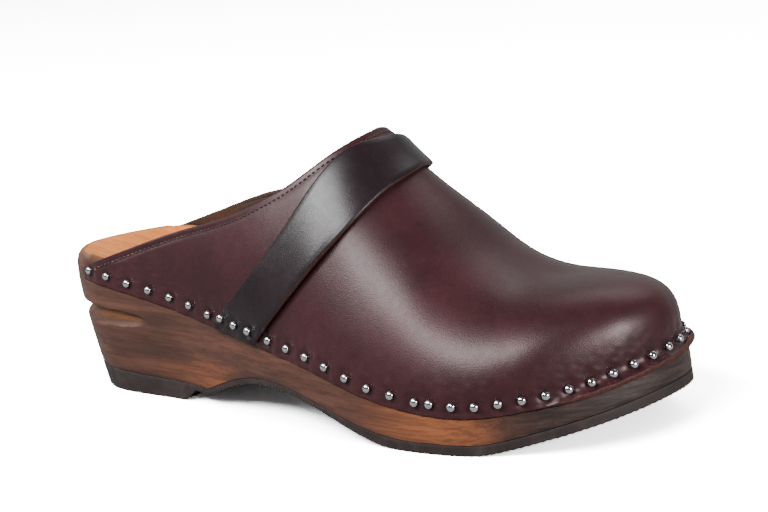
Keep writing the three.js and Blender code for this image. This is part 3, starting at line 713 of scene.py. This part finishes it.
def place_nails():
    mesh = nail_mesh()
    rng = np.random.default_rng(7)
    for name, foot, axis in zip(NAILS, NAIL_FEET, NAIL_AXES):
        nail = in_scene(name + "_look", mesh)
        turn = Vector(axis).to_track_quat("Z", "Y").to_matrix().to_4x4()
        spin = Matrix.Rotation(rng.uniform(0, 2 * math.pi), 4, "Z")
        nail.matrix_world = Matrix.Translation((foot + SHIFT) / 1000) @ turn @ spin
        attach(nail, "root")
        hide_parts(name)


def near_nails(points, reach):
    """How close each point is to a nail, from 0 to 1, falling off over reach."""
    distance = np.linalg.norm(points[:, None] - (NAIL_FEET - NAIL_AXES * 0.3)[None], axis=2).min(1)
    return np.exp(-((distance / reach) ** 2))


def between_nails(share, side):
    """1 half-way between two neighbouring nails, 0 at each nail, by position along the edge."""
    own = NAIL_SHARES[side]
    i = np.clip(np.searchsorted(own, share), 1, len(own) - 1)
    t = np.clip((share - own[i - 1]) / (own[i] - own[i - 1]), 0, 1)
    return np.sin(np.pi * t) ** 2


def nearest_share(points, stride=8):
    """Share of the edge nearest to each point in plan, looking at every stride-th point of the edge."""
    plan = EDGE_POINTS[:-1:stride]
    return np.array([EDGE_SHARES[stride * np.argmin(((plan - p[:2]) ** 2).sum(1))] for p in points])


# The outer row runs on past the middle of the toe, and its last nails count for both sides.
FOOT_SHARES = nearest_share(NAIL_FEET)
OUTER_ROW_END = 0.54
NAIL_SHARES = {
    "outer": np.sort(FOOT_SHARES[FOOT_SHARES < OUTER_ROW_END]),
    "inner": np.sort(1 - FOOT_SHARES[FOOT_SHARES > 0.5]),
}


# ---------------------------------------------------------------- leather upper
def leather_upper(rear_ribs=150, front_ribs=165, steps=66):
    rear = mix(UPPER_REAR, TOPLINE_PEAK, np.sin(np.pi / 2 * np.arange(rear_ribs) / rear_ribs))
    front = np.linspace(share_at_station(TOPLINE_PEAK), 0.5, front_ribs + 1)
    shares = np.concatenate([share_at_station(rear), front])
    behind = np.sqrt(np.maximum(0, TOPLINE_PEAK - station_of(shares)))
    k = (np.arange(steps + 1) / steps) ** 1.3
    points, height, bunch = [], [], []
    for side, top in (("outer", OUTER_TOPLINE(behind)), ("inner", INNER_TOPLINE(behind))):
        share = shares if side == "outer" else 1 - shares
        part = 1 + (top[:, None] - 1) * k
        rib = rib_point(share[:, None], rib_angle(share[:, None], part))
        x, y = edge_at(share)
        points.append(rib.reshape(-1, 3))
        height.append((rib[..., 2] - leather_edge(x, y)[:, None]).ravel())
        bunch.append(np.repeat(between_nails(shares, side), steps + 1))
    rows, columns = len(shares), steps + 1
    faces = np.concatenate([
        grid_faces(rows, columns, flip=True), grid_faces(rows, columns, first=rows * columns),
    ])
    points, faces, kept = weld(np.concatenate(points), faces)
    height, bunch = np.concatenate(height)[kept], np.concatenate(bunch)[kept]
    low = np.exp(-((height / 6.5) ** 2))
    dimple = near_nails(points, 3.0)
    pull = near_nails(points, 7.5)
    t = np.linspace(-SEAM_END, SEAM_END, 700)
    seam = beside(topline, t, np.full_like(t, STITCH_FROM_EDGE), np.zeros_like(t))
    seam = seam[np.isfinite(seam).all(1)]
    to_seam = np.full(len(points), 99.0)  # far away, as the seam never comes near the lower edge
    for block in np.array_split(np.where(height > 3)[0], 40):
        to_seam[block] = np.linalg.norm(points[block][:, None] - seam[None], axis=2).min(1)
    raised = 0.3 * low * bunch - 0.5 * dimple
    raised += 0.22 * pull * Ripple(3, 3.2)(points)
    raised += 0.05 * Ripple(5, 34)(points) + 0.012 * Ripple(6, 9)(points)
    raised -= 0.22 * np.exp(-((to_seam / 0.8) ** 2))
    # Painted shade: the pinch mark says where the upper is painted darker, in the dimples round the nails
    # and along the stitch row.
    marks = {"pinch_shade": np.clip(dimple * 1.2 - 0.1 + 0.8 * np.exp(-((to_seam / 0.7) ** 2)), 0, 1)}
    piece = thick_sheet("leather_upper_look", points, faces, UPPER_LEATHER, marks, raised)
    finish_piece(piece, "upper_leather", "leather_upper")


# ---------------------------------------------------------------- instep strap
def instep_strap(rows=230, columns=30):
    place = np.linspace(-STRAP_END, STRAP_END, rows + 1)[:, None]
    across = np.linspace(0, 1, columns + 1)[None]
    station = STRAP_MIDDLE(place) + (across - 0.5) * STRAP_WIDTH(place)
    place = np.broadcast_to(place, station.shape)
    free = 1 - smooth(np.abs(place), 0.8, 0.95)
    lift = 1.5 * GAP + STRAP_LEATHER + 0.25 * free * smooth(across, 0.4, 1.0)
    points = (hood(station, place) + hood_normal(station, place) * lift[..., None]).reshape(-1, 3)
    faces = facing_up(points, grid_faces(rows + 1, columns + 1), above=80)
    end = smooth(np.abs(place), 0.88, 0.97).ravel()
    edges = np.minimum(across, 1 - across)
    edge = np.broadcast_to(1 - smooth(edges, 0, 0.1), station.shape).ravel()
    dimple = near_nails(points, 3.2)
    raised = 0.03 * Ripple(11, 30)(points) + 0.45 * end * Ripple(12, 4.5)(points)
    raised += -0.6 * dimple - 0.18 * edge
    # Painted shade: the pinch mark says where the strap is painted darker, in the dimples round its nails
    # and along its edges.
    marks = {"pinch_shade": np.clip(dimple + 0.25 * edge, 0, 1)}
    piece = thick_sheet("instep_strap_look", points, faces, STRAP_LEATHER, marks, raised)
    finish_piece(piece, "strap_leather", "instep_strap")


# ---------------------------------------------------------------- lining strip and stitches
def topline_lining(rows=200, columns=8):
    t = np.linspace(-LINING_END, LINING_END, rows + 1)[:, None]
    aside = 1 + LINING_WIDTH * np.linspace(0, 1, columns + 1)[None]
    t, aside = np.broadcast_arrays(t, aside)
    lift = np.full(t.shape, -UPPER_LEATHER - LINING_DROP)
    points = beside(topline, t, aside, lift).reshape(-1, 3)
    faces = facing_up(points, grid_faces(rows + 1, columns + 1), above=85)
    marks = {"pinch_shade": np.zeros(len(points))}
    raised = 0.12 * Ripple(15, 7)(points)
    piece = thick_sheet("topline_lining_look", points, faces, LINING_LEATHER, marks, raised, bulge=0.15)
    finish_piece(piece, "lining_leather", "topline_lining")


def topline_stitches(sides=8, steps=8):
    """Single stitches that dip into the leather at both ends, one row along the topline."""
    t = np.linspace(-STITCHES_END, STITCHES_END, 1600)
    line = beside(topline, t, np.full_like(t, STITCH_FROM_EDGE), np.zeros_like(t))
    normal = hood_normal(*topline(t))
    length = np.concatenate([[0], np.cumsum(np.linalg.norm(np.diff(line, axis=0), axis=1))])

    def at(values, d):
        return np.stack([np.interp(d, length, values[:, k]) for k in range(3)], -1)

    rng = np.random.default_rng(21)
    points, faces = [], []
    for start in np.arange(0.4, length[-1] - STITCH_LENGTH, STITCH_PITCH):
        reach = STITCH_LENGTH * rng.uniform(0.92, 1.08)
        u = np.linspace(0, 1, steps + 1)
        d = start + u * reach
        centre = at(line, d) + unit(at(normal, d)) * (0.36 * np.sin(np.pi * u) - 0.34)[:, None]
        along = unit(np.gradient(centre, axis=0))
        side = unit(np.cross(along, at(normal, d)))
        over = np.cross(side, along)
        girth = THREAD_RADIUS * (0.55 + 0.45 * np.sin(np.pi * u) ** 0.5)
        angle = 2 * np.pi * np.arange(sides) / sides
        ring = centre[:, None] + girth[:, None, None] * (
            side[:, None] * np.cos(angle)[:, None] + over[:, None] * np.sin(angle)[:, None])
        first = sum(len(p) for p in points)
        points.append(ring.reshape(-1, 3))
        faces += [list(f) for f in grid_faces(steps + 1, sides, wrap=True, flip=True, first=first)]
        faces.append([first + k for k in range(sides)])
        faces.append([first + steps * sides + k for k in range(sides)][::-1])
    piece = make_piece("topline_stitches_look", np.concatenate(points), faces)
    finish_piece(piece, "stitching_thread", "topline_thread")


# ---------------------------------------------------------------- wooden sole
def inner_ring(outer, size, height):
    """A ring drawn in towards the sole's middle line. At size 1 it is as wide as the outer ring."""
    opposite = np.roll(outer[::-1], 1, 0)
    middle = np.clip(outer[:, 0], CORE_BACK, CORE_FRONT)
    x = mix(middle, outer[:, 0], size)
    y = mix((outer[:, 1] + opposite[:, 1]) / 2, outer[:, 1], size)
    return np.stack([x, y, height(x, y)], -1)


def close_rings(rings):
    """Faces of stacked rings around the edge, with strips across the first and the last ring."""
    columns = len(rings[0])
    faces = [list(f) for f in grid_faces(len(rings), columns, wrap=True)]
    last = (len(rings) - 1) * columns
    for i in range(columns // 2):
        quad = [i, i + 1, columns - i - 1, (columns - i) % columns]
        faces.append(quad[::-1])
        faces.append([last + k for k in quad])
    return np.concatenate(rings), faces


def wooden_sole(columns=520):
    share = np.arange(columns) / columns
    x, y = edge_at(share)
    nx, ny = edge_normal(share)
    first = share_at_station(UPPER_REAR - 0.9)
    seated = smooth(np.minimum(share, 1 - share), first - 0.002, first + 0.002)
    lip = smooth(x, LIP_START, LIP_END)
    low, rim = wood_underside(x), wood_rim(x, y)
    seat = leather_edge(x, y) - SEAT_DROP - LIP_SEAT * lip
    top = mix(rim - RIM_BAND, seat, seated)
    depth = mix(GROOVE_DEPTH, GROOVE_SIDE_DEPTH, smooth(x, 6, 42))
    depth = depth * (1 - smooth(x, GROOVE_END - 5, GROOVE_END + 1))

    def side(z, inset):
        half = GROOVE_HALF * np.sqrt(np.clip(1 - (x / GROOVE_END) ** 6, 0.01, 1))
        scoop = np.sqrt(np.clip(1 - ((z - GROOVE_HEIGHT) / half) ** 2, 0, 1)) ** 1.2
        return tapered(share, z, inset + depth * scoop), scoop * smooth(depth, 0.2, 1.5)

    rings, scoops, bare = [], [], []

    def inward(inset, z):
        return stack(x - nx * inset, y - ny * inset, z)

    def add(ring, scoop=0.0, is_bare=0.0):
        rings.append(ring)
        scoops.append(np.broadcast_to(scoop, (columns,)).astype(float))
        bare.append(np.broadcast_to(is_bare, (columns,)).astype(float))

    bottom = tapered(share, low, 0.2)
    for size in (0.3, 0.65, 0.92):
        add(inner_ring(bottom, size, lambda a, b: wood_underside(a)))
    add(bottom)

    # Rings up the side: under the groove, through it and over it. Each has a height at the heel, set by
    # the groove, and a height ahead of the heel, set by its level between the underside and the top.
    foot = low + 0.5
    ahead = smooth(x, GROOVE_END + 2, 90)
    below, above = 0.5, 0.78
    grooved = np.linspace(GROOVE_HEIGHT - GROOVE_HALF - 0.3, GROOVE_HEIGHT + GROOVE_HALF + 0.3, 19)
    heights = [
        (mix(foot, grooved[0], level / below * 0.96), level) for level in np.linspace(0, below, 10)[1:]
    ]
    heights += [
        (height, mix(below, above, (j + 1) / (len(grooved) + 1))) for j, height in enumerate(grooved)
    ]
    heights += [
        (mix(grooved[-1], top, (level - 0.74) / 0.26), level) for level in np.linspace(above, 1, 6)
    ]
    for k, (at_heel, level) in enumerate(heights):
        z = mix(at_heel, mix(foot, top, level), ahead)
        inset = 0.2 * (1 - smooth(z - low, 0.4, 1.1)) if k < 2 else 0.0
        ring, scoop = side(z, inset)
        add(ring, scoop)

    step_in = RABBET + LIP_VALLEY * lip
    for share_in in (0.15, 0.5, 1.0):
        plain_z = mix(rim - RIM_BAND, rim - RIM_CHAMFER, share_in)
        plain_in = 0.55 * share_in**2
        z = mix(plain_z, top, seated)
        add(inward(mix(plain_in, step_in * share_in, seated), z))
    for up in (0.35, 0.7, 0.9):
        z = mix(mix(rim - RIM_CHAMFER, rim - 0.35, up), mix(seat, rim - 0.9, up), seated)
        add(inward(mix(0.55 + 1.3 * up**2, step_in + 1.3 * up, seated), z))
    start = mix(1.85, step_in + 1.3, seated)
    rim_in = mix(BARE_RIM, step_in + 2.3, seated)
    for over, dz in ((0.45, -0.12), (1.0, 0.0)):
        add(inward(mix(start, rim_in, over), rim + dz), is_bare=0.35 * over)

    rim_ring = rings[-1]
    for size in (0.965, 0.93, 0.88, 0.82, 0.74, 0.64, 0.52, 0.4, 0.28):
        fall = 1 - (np.clip((size - 0.4) / 0.6, 0, 1)) ** 3.2
        ring = inner_ring(rim_ring, size, footbed)
        ring[:, 2] = mix(rim_ring[:, 2], ring[:, 2], fall)
        add(ring, is_bare=1.0)
    points, faces = close_rings(rings)
    carved = 0.12 * Ripple(31, 18)(points) + 0.05 * Ripple(32, 6)(points)
    points[:, 2] += carved * 0.4
    marks = {"scoop": np.concatenate(scoops), "bare": np.concatenate(bare)}
    piece = make_piece("wooden_sole_look", points, faces, marks, sharp=38)
    finish_piece(piece, "stained_wood", "wooden_sole")


# ---------------------------------------------------------------- rubber outsole
def rubber_outsole(columns=1100):
    share = np.arange(columns) / columns
    x, _ = edge_at(share)
    high, low = wood_underside(x) - GAP, rubber_underside(x)
    forefoot = smooth(x, TEETH_START, TEETH_FULL)
    along = share * EDGE_LENGTH
    tooth = np.clip(1.6 * np.sin(2 * np.pi * along / TOOTH_PITCH), -1, 1) * 0.5 + 0.5
    notch = TOOTH_DEPTH * tooth * forefoot

    def ring(z, inset):
        return tapered(share, z, 0.1 + inset)

    bottom = ring(low, 0.5)
    sizes = (0.25, 0.5, 0.75, 0.86, 0.9)
    rings = [inner_ring(bottom, size, lambda a, b: rubber_underside(a)) for size in sizes]
    rings[-1][:, 2] += 0.7 * notch
    edge = ((low + 0.7 * notch, 0.05), (low + 0.25 + notch, 0.0), (mix(low + 0.8, high, 0.1), 0.0))
    for z, inset in edge:
        rings.append(ring(np.minimum(z, high - 0.4), inset))
    for level in (0.35, 0.6, 0.85):
        rings.append(ring(mix(low + 0.8, high, level), 0.0))
    rings.append(ring(high - 0.2, 0.05))
    rings.append(ring(high, 0.12))
    top = rings[-1]
    for size in (0.9, 0.6, 0.3):
        rings.append(inner_ring(top, size, lambda a, b: wood_underside(a) - GAP))
    points, faces = close_rings(rings)
    piece = make_piece("rubber_outsole_look", points, faces, sharp=55)
    finish_piece(piece, "outsole_rubber", "rubber_outsole")


# ---------------------------------------------------------------- camera, floor and light
CAMERA_TARGET = Vector((0.0105, 0.0085, 0.052))
FLOOR_RADIUS, FLOOR_SIDES = 14, 96
CONTACT_REACH, CONTACT_SHADE = 0.08, 0.35  # the floor darkens this near the shoe, down to this share
ROOM, BACKDROP = 0.1, 0.5  # strengths of the world as the shoe sees it
SEEN_WHITE, FLOOR_GAIN, FLOOR_BOUNCE = 16.0, 14.0, 0.3  # world and floor as seen, floor as light
# Where each stands (azimuth, elevation, distance), its width and height, and its power.
LIGHTS = (
    ("key", (-16, 45, 1.3), (1.4, 0.42), 36),
    ("key_left", (-43, 31, 1.3), (0.35, 0.4), 6),
    ("behind", (178, 53, 1.5), (1.1, 0.6), 4),
    ("toe_side", (80, 15, 1.2), (0.42, 0.32), 13),
)


def direction(azimuth, elevation, distance=1):
    a, e = math.radians(azimuth), math.radians(elevation)
    return Vector((math.sin(a) * math.cos(e), -math.cos(a) * math.cos(e), math.sin(e))) * distance


def camera(azimuth=36.5, elevation=14, roll=-4.8, distance=0.76, lens=97):
    back = direction(azimuth, elevation)
    right = direction(azimuth + 90, 0)
    up = back.cross(right)
    r = math.radians(roll)
    x = right * math.cos(r) + up * math.sin(r)
    y = back.cross(x)
    data = bpy.data.cameras.new("camera")
    data.lens, data.sensor_width = lens, 36
    data.clip_start, data.clip_end = 0.01, 100
    cam = in_scene("camera", data)
    turn = Matrix((x, y, back)).transposed().to_4x4()
    cam.matrix_world = Matrix.Translation(CAMERA_TARGET + back * distance) @ turn
    bpy.context.scene.camera = cam


def area_light(name, at, target, size, power):
    data = bpy.data.lights.new(name, "AREA")
    data.shape = "RECTANGLE"
    data.size, data.size_y = size
    data.energy = power
    light = in_scene(name, data)
    light.location = at
    light.rotation_mode = "QUATERNION"
    light.rotation_quaternion = (target - at).to_track_quat("-Z", "Y")


def white_floor():
    """A floor that the camera sees white, with a soft shade around the shoe."""
    mesh = bpy.data.meshes.new("floor")
    angles = np.linspace(0, 2 * math.pi, FLOOR_SIDES + 1)[:-1]
    ring = [(FLOOR_RADIUS * math.cos(a), FLOOR_RADIUS * math.sin(a), 0) for a in angles]
    mesh.from_pydata(ring, [], [list(range(FLOOR_SIDES))])
    s = material("floor_look")
    pale = s.blend(s.noise(6, 3), (0.86, 0.86, 0.865), (0.9, 0.9, 0.9))
    bright = s.vector("MULTIPLY", pale, (FLOOR_GAIN, FLOOR_GAIN, FLOOR_GAIN))
    bounced = s.vector("MULTIPLY", pale, (FLOOR_BOUNCE, FLOOR_BOUNCE, FLOOR_BOUNCE))
    # Painted shadow: ambient occlusion darkens the floor's colour near the shoe, down to CONTACT_SHADE
    # within CONTACT_REACH.
    open_sky = s.add("ShaderNodeAmbientOcclusion", {"Distance": CONTACT_REACH}).outputs["AO"]
    shaded = s.blend(s.span(open_sky, 0.0, 0.9, CONTACT_SHADE, 1.0), (0, 0, 0), bright)
    colour = s.blend(s.seen_directly(), bounced, shaded)
    diffuse = s.add("ShaderNodeBsdfDiffuse", {"Color": colour, "Roughness": 0.5})
    s.add("ShaderNodeOutputMaterial", {0: diffuse.outputs[0]})
    mesh.materials.append(s.owner)
    in_scene("floor", mesh)


def white_world():
    """Surroundings that the camera sees white. The shoe sees a dim room, brighter to one side behind it."""
    s = Shader(bpy.data.worlds.new("studio"))

    def facing(vector, low, high, to_low, to_high):
        dot = s.add("ShaderNodeVectorMath", {0: s.toward, 1: vector}, operation="DOT_PRODUCT")
        return s.span(dot.outputs["Value"], low, high, to_low, to_high)

    behind = facing((-0.55, 0.83, 0), 0.1, 0.75, 0, 1)
    low_down = facing((0, 0, 1), 0.2, 0.97, 1, 0)
    backdrop = s.math("MULTIPLY", s.math("MULTIPLY", behind, low_down), BACKDROP)
    room = s.math("ADD", backdrop, ROOM)
    strength = s.add("ShaderNodeMix", {0: s.seen_directly(), 2: room, 3: SEEN_WHITE}, data_type="FLOAT")
    background = s.add("ShaderNodeBackground", {0: (1, 1, 1, 1), 1: strength.outputs[0]})
    s.add("ShaderNodeOutputWorld", {0: background.outputs[0]})
    bpy.context.scene.world = s.owner


def softboxes():
    """Lights over the outer side, behind the shoe and at its toe, all turned to its middle."""
    middle = Vector((0, 0, 0.05))
    for name, (azimuth, elevation, distance), size, power in LIGHTS:
        area_light(name, middle + direction(azimuth, elevation, distance), middle, size, power)


camera()
white_floor()
white_world()
softboxes()
wooden_sole()
rubber_outsole()
leather_upper()
instep_strap()
topline_lining()
topline_stitches()
place_nails()
